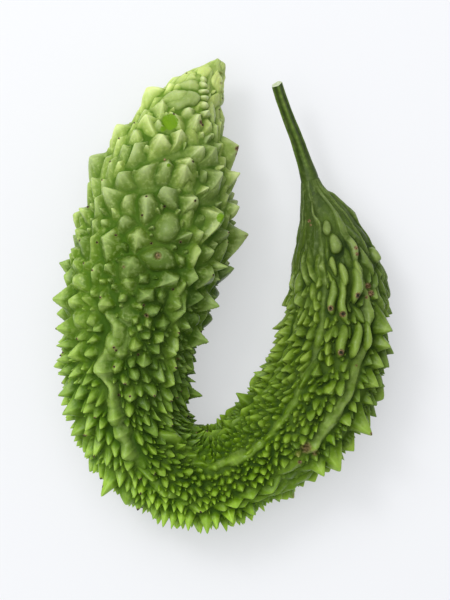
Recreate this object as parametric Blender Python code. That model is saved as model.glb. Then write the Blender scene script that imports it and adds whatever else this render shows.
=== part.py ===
"""Bitter gourd (Momordica charantia), picked and lying on its side, curled into a U.

It has two grown pieces: the fruit, one solid with ten toothed ridges and the tubercles
between them, and the stem that it hung from, cut a little above the fruit.

Units are metres, and +Z is up. The gourd lies on the surface z = 0, and the origin is
under the middle of its outline. The fruit's tip and the stem's cut end point to +Y.
"""
import math
import random

import bmesh
import bpy
from mathutils import Vector
import numpy as np

MM = 0.001

# The fruit's axis from the blossom tip, round the bend, to the neck, in millimetres:
# x, y, z of the axis, half the body's width, half its height, and the tubercles' height.
FRUIT_STATIONS = (
    (-0.8, 81.8, 19.5, 1.6, 1.6, 0.4),
    (-5.6, 75.0, 20.0, 6.2, 6.0, 1.8),
    (-11.0, 67.0, 20.8, 10.6, 10.4, 3.0),
    (-15.0, 57.0, 22.2, 15.2, 15.0, 4.2),
    (-18.6, 46.0, 23.6, 20.0, 19.8, 5.2),
    (-22.0, 31.5, 24.6, 22.8, 22.4, 5.8),
    (-25.4, 15.0, 25.2, 23.6, 22.8, 6.2),
    (-30.2, -1.8, 24.1, 22.4, 21.8, 6.0),
    (-33.0, -18.4, 22.1, 20.0, 20.0, 5.6),
    (-33.4, -34.0, 20.2, 18.4, 18.2, 5.2),
    (-31.0, -46.0, 18.5, 16.8, 16.6, 5.0),
    (-24.6, -55.8, 17.3, 15.4, 15.6, 4.4),
    (-14.6, -62.4, 16.6, 14.8, 15.0, 4.2),
    (-3.2, -63.6, 16.5, 14.8, 15.0, 4.0),
    (8.0, -58.8, 16.8, 15.0, 15.4, 3.8),
    (18.2, -50.6, 17.7, 16.6, 16.4, 3.4),
    (28.0, -40.8, 18.3, 17.6, 17.2, 3.0),
    (35.2, -28.4, 18.2, 17.6, 17.2, 2.8),
    (39.2, -14.0, 17.3, 16.6, 16.4, 2.6),
    (40.2, -0.8, 16.4, 15.6, 15.6, 2.2),
    (39.0, 12.6, 15.4, 14.0, 14.2, 1.8),
    (35.8, 25.4, 15.8, 9.8, 10.2, 1.2),
    (31.9, 35.0, 17.0, 5.0, 5.2, 0.5),
    (30.4, 40.4, 17.0, 3.3, 3.3, 0.2),
)
FRUIT_ROWS = 92            # cross-sections along the axis
RIDGES = 10                # lengthwise ridges round the fruit
COLUMNS_PER_RIDGE = 4      # crest, flank, furrow, flank
ROWS_PER_TOOTH = 3         # along a ridge
RIDGE_OFFSET_DEG = -4.0    # from straight up to the nearest ridge, turning to the U's outside
TWIST_DEG = 36.0           # how far the ridges have turned round the body at the neck
TWIST_START, TWIST_END = 0.35, 0.70   # where along the axis the turn begins and ends

# Heights above the body, as shares of a station's tubercle height.
CREST_TOOTH, CREST_SADDLE = 1.0, 0.55
FLANK_HIGH, FLANK_LOW = 0.62, 0.30
FURROW_HIGH, FURROW_LOW = 0.34, 0.06
HEIGHT_SPREAD = 0.16       # random part of each height

# The stem from the neck to its cut end, in millimetres: x, y, z and radius.
STEM_STATIONS = (
    (28.2, 47.2, 17.6, 2.75),
    (25.8, 54.2, 18.6, 2.35),
    (23.0, 61.2, 19.8, 2.15),
    (20.4, 68.2, 21.0, 2.05),
    (18.6, 73.8, 22.0, 2.00),
)
STEM_BASE_RADIUS = 3.0
STEM_STRAIGHT = 1.5        # the stem leaves the neck square to it, millimetres
STEM_RIBS = 5
STEM_RIB_DEPTH = 0.10      # share of the radius
STEM_SIDES_PER_RIB = 4
STEM_ROWS_PER_STATION = 3
JOINT_GAP = 0.35           # between the fruit's neck and the stem, millimetres

FRUIT_GREEN = (0.16, 0.31, 0.055, 1.0)
STEM_GREEN = (0.07, 0.16, 0.030, 1.0)
FRUIT_ROUGHNESS = 0.42
STEM_ROUGHNESS = 0.55


def clear_scene():
    for old in list(bpy.data.objects):
        bpy.data.objects.remove(old, do_unlink=True)


def make_collection(name):
    collection = bpy.data.collections.new(name)
    bpy.context.scene.collection.children.link(collection)
    return collection


def plain_material(name, colour, roughness):
    material = bpy.data.materials.new(name)
    material.use_nodes = True
    shader = material.node_tree.nodes["Principled BSDF"]
    shader.inputs["Base Color"].default_value = colour
    shader.inputs["Roughness"].default_value = roughness
    shader.inputs["Metallic"].default_value = 0.0
    return material


def smooth_step(low, high, value):
    share = min(max((value - low) / (high - low), 0.0), 1.0)
    return share * share * (3.0 - 2.0 * share)


def spline_through(stations, steps=24):
    """Points on a Catmull-Rom curve through the stations, every column of them."""
    rows = np.array(stations, float)
    first = 2.0 * rows[0] - rows[1]
    last = 2.0 * rows[-1] - rows[-2]
    rows = np.vstack([first, rows, last])
    points = []
    for i in range(1, len(rows) - 2):
        before, start, end, after = rows[i - 1], rows[i], rows[i + 1], rows[i + 2]
        for step in range(steps):
            u = step / steps
            points.append(
                0.5 * (2.0 * start + (end - before) * u
                       + (2.0 * before - 5.0 * start + 4.0 * end - after) * u ** 2
                       + (3.0 * start - before - 3.0 * end + after) * u ** 3)
            )
    points.append(rows[-2])
    return np.array(points)


def even_rows(points, count):
    """The same curve read at evenly spaced lengths along x, y and z."""
    steps = np.linalg.norm(np.diff(points[:, :3], axis=0), axis=1)
    length = np.concatenate([[0.0], np.cumsum(steps)])
    wanted = np.linspace(0.0, length[-1], count)
    columns = [np.interp(wanted, length, points[:, c]) for c in range(points.shape[1])]
    return np.stack(columns, axis=1)


def directions_outside(rows):
    """The level direction from the axis to the U's outside, at each row."""
    along = np.gradient(rows[:, :3], axis=0)
    along[:, 2] = 0.0
    along /= np.linalg.norm(along, axis=1)[:, None]
    return np.stack([along[:, 1], -along[:, 0], np.zeros(len(rows))], axis=1)


def tubercle_share(row, column, dice):
    """How high the skin stands at this row and column, as a share of the tubercle height."""
    place = column % COLUMNS_PER_RIDGE
    ridge = column // COLUMNS_PER_RIDGE
    if place == 0:
        tooth = (row + ridge) % ROWS_PER_TOOTH == 0
        share = CREST_TOOTH if tooth else CREST_SADDLE
    elif place == 2:
        share = FURROW_HIGH if (row + ridge) % 2 else FURROW_LOW
    else:
        share = FLANK_HIGH if (row + place // 2) % 2 else FLANK_LOW
    return share * (1.0 + dice.uniform(-HEIGHT_SPREAD, HEIGHT_SPREAD))


def skin_point(station, outside, angle, share):
    """A point of the fruit's skin, angle being from straight up towards the U's outside."""
    x, y, z, half_width, half_height, tubercle = station
    rise = tubercle * share
    level = (half_width + rise) * math.sin(angle)
    height = z + (half_height + rise) * math.cos(angle)
    # The lowest tubercles are pressed flat on the surface that the fruit lies on.
    height = max(height, 0.0)
    return Vector((x + outside[0] * level, y + outside[1] * level, height)) * MM


def make_fruit(collection, material):
    """A sphere's rings drawn out along the axis, each ring set to that place's section.

    The axis rows are given back, for the stem to start from.
    """
    columns = RIDGES * COLUMNS_PER_RIDGE
    rows = even_rows(spline_through(FRUIT_STATIONS), FRUIT_ROWS)
    outside = directions_outside(rows)
    dice = random.Random(4)
    shares = [[tubercle_share(r, c, dice) for c in range(columns)] for r in range(FRUIT_ROWS)]

    mesh = bpy.data.meshes.new("fruit")
    body = bmesh.new()
    bmesh.ops.create_uvsphere(body, u_segments=columns, v_segments=FRUIT_ROWS + 1, radius=1.0)
    for vertex in body.verts:
        ring = round(math.acos(max(-1.0, min(1.0, vertex.co.z))) / math.pi * (FRUIT_ROWS + 1))
        if ring == 0:
            vertex.co = Vector(rows[0][:3]) * MM
            continue
        if ring == FRUIT_ROWS + 1:
            vertex.co = Vector(rows[-1][:3]) * MM
            continue
        row = ring - 1
        column = round(math.atan2(vertex.co.y, vertex.co.x) / math.tau * columns) % columns
        turn = TWIST_DEG * smooth_step(TWIST_START, TWIST_END, row / (FRUIT_ROWS - 1))
        angle = math.radians(RIDGE_OFFSET_DEG + turn) + math.tau * column / columns
        vertex.co = skin_point(rows[row], outside[row], angle, shares[row][column])
    # Drawing the sphere out along the axis turned it inside out.
    bmesh.ops.reverse_faces(body, faces=body.faces)
    bmesh.ops.triangulate(body, faces=body.faces)
    body.to_mesh(mesh)
    body.free()
    mesh.shade_smooth()
    collection.objects.link(bpy.data.objects.new("fruit", mesh))
    mesh.materials.append(material)
    return rows


def rib_profile(collection):
    """The stem's ribbed cross-section, one unit in radius, as a guide curve."""
    sides = STEM_RIBS * STEM_SIDES_PER_RIB
    curve = bpy.data.curves.new("stem_profile", "CURVE")
    curve.dimensions = "2D"
    spline = curve.splines.new("POLY")
    spline.points.add(sides - 1)
    for i, point in enumerate(spline.points):
        angle = -math.tau * i / sides   # clockwise, so that the sides face out like the caps
        radius = 1.0 + STEM_RIB_DEPTH * math.cos(STEM_RIBS * angle)
        point.co = (radius * math.cos(angle), radius * math.sin(angle), 0.0, 1.0)
    spline.use_cyclic_u = True
    guide = bpy.data.objects.new("stem_profile", curve)
    guide.hide_render = True
    guide.display_type = "WIRE"
    guide.scale = (MM, MM, MM)
    collection.objects.link(guide)
    return guide


def make_stem(collection, guides, material, fruit_rows):
    """The ribbed stem, swept from the neck to its cut end."""
    neck = Vector(fruit_rows[-1][:3])
    leaving = (neck - Vector(fruit_rows[-2][:3])).normalized()
    start = neck + leaving * JOINT_GAP
    straight = start + leaving * STEM_STRAIGHT
    base = tuple((*point, STEM_BASE_RADIUS) for point in (start, straight))
    curved = spline_through(base[1:] + STEM_STATIONS, STEM_ROWS_PER_STATION)
    route = np.vstack([base[:1], curved])

    curve = bpy.data.curves.new("stem", "CURVE")
    curve.dimensions = "3D"
    curve.bevel_mode = "OBJECT"
    curve.bevel_object = rib_profile(guides)
    curve.use_fill_caps = True
    spline = curve.splines.new("POLY")
    spline.points.add(len(route) - 1)
    for point, (x, y, z, radius) in zip(spline.points, route):
        point.co = (x * MM, y * MM, z * MM, 1.0)
        point.radius = radius
    spline.use_smooth = True
    curve.materials.append(material)
    collection.objects.link(bpy.data.objects.new("stem", curve))


def main():
    clear_scene()
    parts = make_collection("bitter_gourd")
    guides = make_collection("guides")
    fruit_material = plain_material("fruit_skin", FRUIT_GREEN, FRUIT_ROUGHNESS)
    stem_material = plain_material("stem_skin", STEM_GREEN, STEM_ROUGHNESS)
    rows = make_fruit(parts, fruit_material)
    make_stem(parts, guides, stem_material, rows)


main()
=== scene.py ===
"""The bitter gourd's looks: its fine skin and stem, their materials, a floor, light and a camera.

The fruit's skin is one closed sheet of rows and columns wrapped round the same axis as in
part.py. Ridges and tubercles are raised from it one by one. Lengths are in millimetres
until a mesh is made.
"""

import math

import bpy
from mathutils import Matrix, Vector
import numpy as np


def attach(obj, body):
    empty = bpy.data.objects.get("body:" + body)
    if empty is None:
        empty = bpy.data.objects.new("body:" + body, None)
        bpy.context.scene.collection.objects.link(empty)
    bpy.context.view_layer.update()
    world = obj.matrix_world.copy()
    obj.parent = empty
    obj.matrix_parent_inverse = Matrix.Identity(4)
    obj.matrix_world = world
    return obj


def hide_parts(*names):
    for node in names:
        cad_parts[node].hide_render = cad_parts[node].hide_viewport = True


MM = 0.001

# ---------------------------------------------------------------- the fruit's body
# x, y, z of the axis, half the width, half the height, from the blossom tip to the neck.
FRUIT_STATIONS = (
    (-0.8, 81.8, 19.5, 1.6, 1.6),
    (-5.6, 75.0, 20.0, 6.2, 6.0),
    (-11.0, 67.0, 20.8, 10.6, 10.4),
    (-15.0, 57.0, 22.2, 15.2, 15.0),
    (-18.6, 46.0, 23.6, 20.0, 19.8),
    (-22.0, 31.5, 24.6, 22.8, 22.4),
    (-25.4, 15.0, 25.2, 23.6, 22.8),
    (-30.2, -1.8, 24.1, 22.4, 21.8),
    (-33.0, -18.4, 22.1, 20.0, 20.0),
    (-33.4, -34.0, 20.2, 18.4, 18.2),
    (-31.0, -46.0, 18.5, 16.8, 16.6),
    (-24.6, -55.8, 17.3, 15.4, 15.6),
    (-14.6, -62.4, 16.6, 14.8, 15.0),
    (-3.2, -63.6, 16.5, 14.8, 15.0),
    (8.0, -58.8, 16.8, 15.0, 15.4),
    (18.2, -50.6, 17.7, 16.6, 16.4),
    (28.0, -40.8, 18.3, 17.6, 17.2),
    (35.2, -28.4, 18.2, 17.6, 17.2),
    (39.2, -14.0, 17.3, 16.6, 16.4),
    (40.2, -0.8, 16.4, 15.6, 15.6),
    (39.0, 12.6, 15.4, 14.0, 14.2),
    (35.8, 25.4, 15.8, 9.8, 10.2),
    (31.9, 35.0, 17.0, 5.0, 5.2),
    (30.4, 40.4, 17.0, 3.3, 3.3),
)
ROWS = 1400                # cross-sections along the fruit
COLUMNS = 640              # points round each of them
WARP_SEED, FRUIT_SEED, STEM_SEED = 5, 11, 23

# The tubercles' usual shape along the fruit, by distance from the tip: radius, height,
# pointedness (0 dome, 0.5 cone, 1 thorn), stretch along the fruit, how far the tip hangs over
# towards the stem, and how far the peak sits towards the stem within the foot.
ZONES = (
    (0.0, 1.2, 0.5, 0.2, 2.6, -0.1, 0.0),
    (14.0, 1.6, 1.6, 0.3, 2.0, -0.5, -0.3),
    (30.0, 2.0, 4.4, 0.45, 1.35, -1.4, -0.30),
    (55.0, 2.3, 6.2, 0.50, 1.20, -2.0, -0.30),
    (80.0, 2.1, 6.0, 0.50, 1.10, -1.2, -0.2),
    (100.0, 1.8, 5.8, 0.40, 1.15, 0.3, 0.0),
    (125.0, 1.45, 6.0, 0.60, 1.30, 2.0, 0.25),
    (145.0, 1.05, 5.4, 0.70, 1.40, 2.2, 0.3),
    (165.0, 0.85, 4.4, 0.75, 1.25, 0.9, 0.1),
    (190.0, 0.85, 4.0, 0.65, 1.25, -0.3, 0.0),
    (215.0, 1.00, 3.8, 0.60, 1.55, -1.4, -0.30),
    (240.0, 1.05, 3.6, 0.50, 1.80, -1.8, -0.40),
    (255.0, 1.10, 2.8, 0.35, 2.4, -1.2, -0.3),
    (266.0, 1.0, 1.0, 0.20, 3.6, -0.4, 0.0),
    (278.0, 1.1, 0.3, 0.10, 5.0, 0.0, 0.0),
    (296.0, 0.6, 0.1, 0.10, 6.0, 0.0, 0.0),
)

# How tubercles on the flanks differ from those on top, by distance from the tip: how much wider
# and taller on the U's outside, the same on its inside, and how much darker on its outside than
# on its inside. That last is painted light and shade: the thick arm's outside, turned to the lamp,
# is painted lighter, and the thin arm's outside, turned away from it, darker.
FLANKS = (
    (0.0, 0.0, 0.0, 0.0, 0.0, 0.0),
    (40.0, 0.55, -0.20, 0.35, -0.25, -0.3),
    (80.0, 0.40, -0.20, 0.25, -0.30, -0.8),
    (110.0, 0.15, -0.20, 0.10, -0.25, -1.3),
    (150.0, 0.15, -0.15, 0.00, -0.50, -1.3),
    (190.0, 0.25, 0.0, -0.10, -0.50, -0.4),
    (220.0, 0.10, 0.1, 0.0, 0.0, 1.0),
    (296.0, 0.0, 0.0, 0.0, 0.0, 1.0),
)

# A ridge's usual shape by distance from the tip: the teeth's height and half-width, their
# spacing, and the height and half-width of the unbroken crest.
RIDGE_ZONES = (
    (0.0, 0.8, 1.2, 6.0, 0.3, 0.8),
    (20.0, 3.4, 2.0, 7.0, 0.8, 1.2),
    (45.0, 6.4, 2.6, 9.0, 1.6, 1.8),
    (75.0, 7.4, 2.6, 9.5, 3.4, 2.4),
    (105.0, 6.6, 2.2, 8.0, 6.6, 3.3),
    (135.0, 6.0, 1.8, 6.5, 6.2, 3.0),
    (160.0, 5.4, 1.5, 6.0, 4.2, 2.0),
    (190.0, 4.8, 1.5, 6.5, 4.2, 2.4),
    (220.0, 4.4, 1.6, 8.0, 2.8, 2.6),
    (250.0, 3.0, 1.5, 10.0, 2.8, 2.0),
    (272.0, 1.6, 1.0, 14.0, 2.3, 1.3),
    (287.0, 0.6, 0.7, 18.0, 1.2, 0.8),
    (296.0, 0.3, 0.6, 18.0, 0.5, 0.6),
)

# Each ridge's way along the fruit: distance from the tip, degrees from straight up towards
# the U's outside, how strong it is there, and how unbroken (0 toothed, 1 one long crest).
RIDGES = {
    "upper_outer": (
        (0, 60, 0.6, 0), (40, 58, 0.7, 0), (67, 54, 0.7, 0), (90, 32, 0.7, 0.2),
        (99, 14, 0.8, 0.8), (104, 14, 1.0, 1), (112, 22, 1.1, 1), (118, 20, 1.1, 1),
        (125, 16, 1.0, 1), (137, 14, 1.0, 1), (143, 15, 0.9, 1), (146, 17, 0.2, 0.1),
        (149, 20, 0.3, 0), (152, 23, 0.7, 0.5), (158, 29, 0.7, 0.6), (161, 33, 0.3, 0),
        (166, 38, 0.6, 0.1), (175, 48, 0.7, 0.1),
        (186, 63, 0.8, 0.2), (196, 77, 1.0, 0), (230, 82, 1.3, 0), (262, 78, 0.8, 0.4),
        (295, 74, 0.8, 1),
    ),
    "upper_outer_fold": (
        (90, 4, 0.0, 0.5), (97, 5, 0.8, 0.9), (108, 8, 0.9, 1), (114, 10, 0.0, 1),
    ),
    "upper_inner": (
        (0, -10, 0.4, 0.3), (51, -23, 0.4, 0), (66, -36, 0.8, 0), (86, -35, 0.8, 0),
        (106, -47, 0.9, 0), (139, -40, 0.8, 0), (154, -38, 0.5, 0), (168, -16, 0.3, 0.3),
        (172, -13, 0.8, 1), (176, -15, 0.9, 1), (183, -12, 0.95, 1), (189, -9, 0.65, 0.9),
        (194, -9, 0.35, 0.3), (200, -12, 0.55, 0.8), (207, -15, 0.4, 0.4), (214, -18, 0.55, 0.9),
        (222, -20, 0.55, 1),
        (244, -19, 0.5, 1), (270, -18, 0.6, 1), (295, -18, 0.7, 1),
    ),
    "middle": (
        (199, 30, 0.0, 0.5), (203, 31, 1.1, 1), (210, 33, 1.3, 1), (220, 30, 1.1, 1),
        (231, 33, 0.9, 1), (238, 35, 0.9, 1), (250, 36, 0.9, 1), (265, 28, 0.9, 1),
        (295, 28, 0.8, 1),
    ),
    "inner": (
        (0, -70, 0.5, 0), (40, -68, 0.5, 0), (75, -74, 0.5, 0), (110, -84, 0.55, 0),
        (150, -80, 0.6, 0), (180, -60, 0.6, 0), (208, -54, 0.6, 0.2), (236, -58, 0.7, 0.4),
        (250, -64, 0.55, 1), (262, -66, 0.45, 1), (276, -64, 0.40, 1), (288, -60, 0.5, 1),
        (295, -60, 0.6, 1),
    ),
    "neck_dark": ((236, 66, 0.0, 1), (250, 62, 0.6, 1), (270, 52, 0.8, 1), (295, 50, 0.8, 1)),
    "outer": (
        (0, 95, 0.5, 0), (45, 88, 0.6, 0), (80, 80, 0.6, 0), (120, 72, 0.65, 0),
        (150, 72, 0.8, 0), (180, 96, 0.8, 0), (205, 100, 0.9, 0.5), (222, 104, 0.9, 0.5),
        (232, 110, 0.9, 0), (255, 112, 0.8, 0.7),
        (295, 115, 0.8, 1),
    ),
    "outer_low": ((0, 130, 0.8, 0), (120, 118, 0.9, 0), (220, 146, 0.9, 0), (260, 148, 0.8, 0.8),
                  (295, 150, 0.8, 1)),
    "under": ((0, 165, 0.8, 0), (120, 158, 0.9, 0), (220, 186, 0.9, 0), (260, 188, 0.8, 0.8),
              (295, 190, 0.8, 1)),
    "inner_under": ((0, 205, 0.8, 0), (120, 200, 0.9, 0), (220, 226, 0.9, 0),
                    (260, 228, 0.8, 0.8), (295, 230, 0.8, 1)),
    "inner_low": ((0, 250, 0.8, 0), (120, 240, 0.9, 0), (220, 266, 0.8, 0),
                  (245, 270, 0.35, 0.8), (295, 272, 0.3, 1)),
}

# Single tubercles that stand out, by where their tips are seen from above (x, y): height,
# half-length along the fruit, half-width, pointedness, and turn in degrees.
BIG_WARTS = (
    # the inner side of the thick arm
    (5.2, 51.4, 6.0, 6.0, 3.4, 0.35, 0), (5.6, 41.5, 6.0, 4.2, 3.5, 0.75, 0),
    (5.3, 29.5, 5.6, 4.2, 3.2, 0.45, 0), (8.4, 20.2, 8.4, 9.0, 4.6, 0.85, 0),
    (1.1, 9.2, 6.8, 3.2, 2.6, 0.85, 0), (-1.4, 5.0, 4.8, 2.4, 2.0, 0.80, 0),
    (-1.9, -4.2, 7.4, 5.2, 3.0, 0.85, 0), (-5.4, -16.1, 7.6, 6.2, 3.0, 0.85, 0),
    (-10.8, -18.7, 4.0, 2.2, 1.8, 0.80, 0), (-10.8, -25.5, 4.4, 2.2, 1.7, 0.80, 0),
    (-7.5, -34.6, 7.6, 4.6, 2.2, 0.85, 0), (-9.5, -30.0, 5.0, 2.4, 1.7, 0.80, 0),
    # its upper inner ridge
    (-0.2, 26.1, 7.0, 6.5, 4.0, 0.40, 25), (-9.0, 5.2, 7.2, 6.4, 4.0, 0.85, 0),
    (-14.9, -4.1, 5.8, 4.0, 3.6, 0.60, 0), (-16.2, -20.2, 5.4, 5.5, 2.6, 0.70, 0),
    (-11.5, -11.2, 5.4, 3.2, 2.6, 0.75, 0), (-17.5, -34.6, 4.2, 3.2, 2.6, 0.60, 0),
    (-16.6, -48.6, 5.6, 5.0, 2.2, 0.25, -22), (-13.6, -51.2, 6.0, 3.2, 1.9, 0.60, -10),
    (-19.5, -40.0, 5.0, 3.0, 1.7, 0.80, 0), (-21.5, -42.6, 5.0, 3.0, 1.7, 0.80, 0),
    (-28.3, -50.8, 5.2, 3.2, 1.8, 0.75, 0), (-23.6, -54.2, 5.0, 3.2, 1.7, 0.75, 0),
    (-18.9, -59.9, 4.6, 3.0, 1.6, 0.85, 0),
    # its back
    (-22.2, 12.4, 4.6, 3.6, 5.8, 0.05, 0), (-26.2, 32.0, 5.8, 5.0, 4.4, 0.45, 0),
    (-9.5, 32.0, 6.6, 4.4, 5.0, 0.50, 20), (-12.8, 42.9, 6.6, 5.6, 4.4, 0.75, 15),
    (-18.2, 22.0, 4.6, 4.6, 4.2, 0.15, 0), (-29.2, 19.4, 5.2, 4.6, 4.2, 0.40, 0),
    (-26.2, 42.9, 5.2, 5.2, 3.8, 0.60, 20), (-19.2, 44.2, 5.2, 4.2, 4.0, 0.45, 0),
    (-11.5, 45.6, 5.2, 4.4, 3.5, 0.50, 0), (-33.3, 32.5, 5.0, 4.2, 4.0, 0.60, 0),
    (-34.3, 25.4, 5.0, 4.0, 3.8, 0.60, 0), (-40.6, 18.8, 6.2, 5.2, 5.0, 0.40, 0),
    (-31.6, 10.4, 5.6, 4.6, 5.0, 0.30, 0), (-21.0, 54.0, 5.6, 4.6, 3.4, 0.60, 20),
    (-14.5, 56.0, 4.8, 5.0, 3.0, 0.60, 15), (-30.5, 51.0, 5.0, 5.6, 3.4, 0.60, 25),
    (-7.0, 50.0, 5.0, 4.4, 3.4, 0.60, 10), (-8.5, 61.5, 3.8, 4.4, 3.0, 0.50, 15),
    # the small stacked bumps near the blossom end
    (-6.9, 75.6, 1.8, 1.0, 1.5, 0.25, 0), (-6.4, 73.4, 2.2, 1.1, 1.5, 0.25, 0),
    (-6.2, 71.1, 2.5, 1.1, 1.6, 0.25, 0), (-6.0, 68.8, 2.8, 1.1, 1.7, 0.25, 0),
    (-5.8, 66.3, 3.2, 1.2, 1.8, 0.25, 0), (-5.2, 63.4, 3.6, 1.4, 1.9, 0.3, 0),
    # fleshy lumps on its upper outer ridge
    (-41.8, -3.5, 5.8, 3.6, 3.2, 0.35, 0), (-38.3, -17.5, 5.8, 4.6, 3.2, 0.20, 0),
    (-36.9, -24.9, 5.4, 3.8, 2.6, 0.30, 0), (-31.9, -35.4, 5.2, 3.0, 2.4, 0.30, 0),
    (-46.5, -15.8, 5.2, 2.2, 1.8, 0.70, 0), (-46.8, -26.4, 5.2, 2.2, 1.8, 0.70, 0),
    (-43.9, -37.6, 5.0, 2.4, 1.8, 0.70, 0),
    # its outer side
    (-27.0, 71.6, 5.4, 6.0, 3.0, 0.30, 0), (-37.5, 58.5, 4.6, 5.0, 3.2, 0.50, 0),
    (-48.1, 48.0, 6.4, 6.4, 4.0, 0.30, 0), (-53.0, 27.3, 5.6, 5.6, 3.4, 0.60, 0),
    (-57.9, 10.9, 6.4, 5.4, 3.6, 0.70, 0), (-58.7, -1.4, 8.4, 7.0, 4.2, 0.85, 0),
    (-57.9, -11.5, 7.4, 4.6, 3.6, 0.75, 0), (-57.7, -17.4, 6.6, 3.2, 2.6, 0.85, 0),
    (-57.7, -22.2, 6.6, 3.0, 2.2, 0.85, 0), (-57.4, -26.5, 6.2, 2.6, 2.0, 0.85, 0),
    (-57.2, -34.3, 7.2, 4.4, 2.6, 0.85, 0), (-55.7, -40.6, 8.2, 5.2, 4.0, 0.75, 0),
    (-53.0, -48.0, 6.4, 4.0, 3.0, 0.70, 0), (-48.4, -55.5, 6.4, 3.6, 2.8, 0.70, 0),
    (-42.7, -68.9, 10.0, 4.4, 3.4, 0.85, 0), (-35.0, -72.4, 5.2, 5.0, 3.0, 0.30, 0),
    # the bend's outer side
    (-25.0, -78.0, 6.0, 2.2, 1.8, 0.85, 0), (-21.5, -80.5, 7.4, 2.6, 1.9, 0.85, 0),
    (-18.6, -81.0, 7.4, 2.4, 1.8, 0.85, 0), (-15.2, -80.0, 6.6, 2.4, 1.8, 0.85, 0),
    (-12.4, -81.6, 7.6, 2.6, 1.9, 0.85, 0), (-6.0, -82.6, 8.8, 3.0, 2.0, 0.85, 0),
    (-2.5, -80.8, 6.6, 2.4, 1.8, 0.80, 0), (2.8, -79.1, 6.4, 3.0, 2.0, 0.75, 0),
    # the thin arm's outer side
    (34.8, -62.3, 7.2, 4.0, 3.0, 0.80, 0), (40.6, -60.5, 8.4, 4.4, 4.0, 0.50, 0),
    (51.3, -48.0, 9.2, 5.0, 4.0, 0.70, 0), (58.0, -11.6, 6.8, 6.4, 3.6, 0.70, 0),
    (57.8, -17.4, 6.4, 4.6, 3.4, 0.70, 0), (55.6, -24.2, 5.6, 4.0, 3.0, 0.80, 0),
    (54.9, 12.9, 3.6, 2.2, 2.0, 0.10, 0), (53.6, -31.0, 5.6, 4.6, 3.0, 0.80, 0),
    # broad smooth folds at the bend's end
    (23.0, -60.5, 2.4, 5.5, 3.0, 0.35, 0), (31.5, -60.0, 2.4, 5.0, 2.6, 0.35, 0),
    (17.0, -68.5, 3.2, 5.2, 2.2, 0.45, 0), (25.0, -67.5, 2.2, 6.0, 2.2, 0.40, 0),
    (10.0, -70.5, 4.6, 4.6, 2.2, 0.60, 0), (4.5, -73.5, 5.0, 4.2, 2.0, 0.60, 0),
    # its inner side
    (4.6, -34.1, 6.4, 3.4, 2.2, 0.85, 0), (0.2, -43.6, 4.6, 2.8, 1.8, 0.85, 0),
    (21.5, -15.8, 3.0, 2.0, 1.4, 0.80, 0),
    # smooth fingers and lumps on its back
    (36.9, -3.2, 4.0, 5.6, 1.6, 0.05, 0), (41.1, -5.2, 4.4, 6.4, 1.7, 0.05, 0),
    (46.4, 0.8, 4.4, 5.6, 1.6, 0.05, 0), (40.4, -18.6, 4.4, 4.8, 1.7, 0.05, -6),
    (45.9, -18.6, 4.6, 5.6, 1.7, 0.05, 0), (50.6, -16.8, 4.2, 5.0, 1.5, 0.05, 0),
    (36.0, 22.0, 2.6, 2.8, 1.5, 0.1, 0), (38.9, 16.8, 3.2, 3.4, 1.8, 0.1, 0),
    (38.3, 9.0, 3.0, 3.4, 1.1, 0.1, 0), (42.2, 5.0, 3.6, 3.8, 1.4, 0.1, 0),
    (47.6, 6.5, 3.2, 4.6, 1.3, 0.1, 0),
)


# Marks on the skin, by where they are seen from above: x, y, radius, strength.
BROWN_MARKS = (
    (4.9, 51.0, 1.4, 0.9), (4.9, 48.8, 1.2, 0.9), (7.8, 20.6, 0.9, 0.5), (-7.5, 59.5, 1.3, 0.9),
    (-22.2, 13.2, 1.9, 0.7), (-20.1, 46.2, 0.7, 0.8), (-33.8, 9.5, 0.9, 0.6),
    (-26.2, -7.0, 1.3, 0.7), (-27.5, -28.4, 1.8, 0.35), (36.9, -4.6, 1.5, 1.0),
    (41.1, -6.6, 1.6, 1.0), (46.4, -0.2, 1.5, 1.0), (50.2, 3.2, 1.5, 0.9), (51.2, 0.6, 1.6, 0.9),
    (49.6, -0.8, 0.9, 0.8), (40.4, -19.8, 1.7, 1.0), (46.0, 16.4, 1.2, 0.8), (46.4, 14.2, 1.1, 0.8),
    (29.9, 25.9, 0.9, 0.8), (30.4, 24.4, 0.6, 0.8), (26.4, -57.8, 1.1, 0.9),
    (28.6, -52.8, 3.0, 0.7), (31.6, -54.6, 2.0, 0.6), (25.8, -55.0, 1.8, 0.5),
    (45.9, -24.4, 0.8, 0.6), (51.3, -48.0, 0.9, 0.9), (-15.7, -22.3, 1.0, 0.8),
    (21.5, -72.0, 1.6, 0.45), (25.0, -71.0, 1.7, 0.5), (28.4, -69.0, 1.6, 0.45),
    (-1.0, 77.6, 0.8, 0.5), (-0.9, 74.0, 0.8, 0.55), (-0.6, 71.0, 0.8, 0.4), (-37.3, -17.9, 1.7, 0.3),
)
PINS = (
    (-9.6, 31.9), (-26.1, 33.3), (-10.3, 45.5), (-36.6, 20.3), (-43.2, 17.9), (-7.2, 58.6),
    (-26.2, -7.0), (-27.1, -3.5), (-37.3, -24.5), (-35.9, -34.3), (-32.0, -34.7), (-29.2, -20.4),
    (-58.1, -11.8), (-55.3, -39.8), (-42.9, -67.8), (-42.2, -66.4), (-24.5, 17.5), (-37.3, -17.9),
    (-36.6, -18.9), (-17.2, 1.9), (-27.6, 27.0), (-14.6, 18.0), (-20.0, 30.0), (-47.0, 30.5),
)
DENTS = (
    (-22.2, 13.2, 1.7, 1.4), (-27.5, -28.4, 1.5, 0.9), (-27.9, -38.9, 1.4, 0.7),
    (36.9, -4.6, 0.9, 0.5), (41.1, -6.6, 0.9, 0.5), (46.4, -0.2, 0.9, 0.5), (40.4, -19.8, 1.0, 0.6),
    (50.2, 2.6, 1.2, 0.7), (29.9, -52.8, 2.2, 0.8), (-26.2, -7.0, 0.9, 0.5), (-7.5, 59.5, 0.9, 0.5),
)
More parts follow.
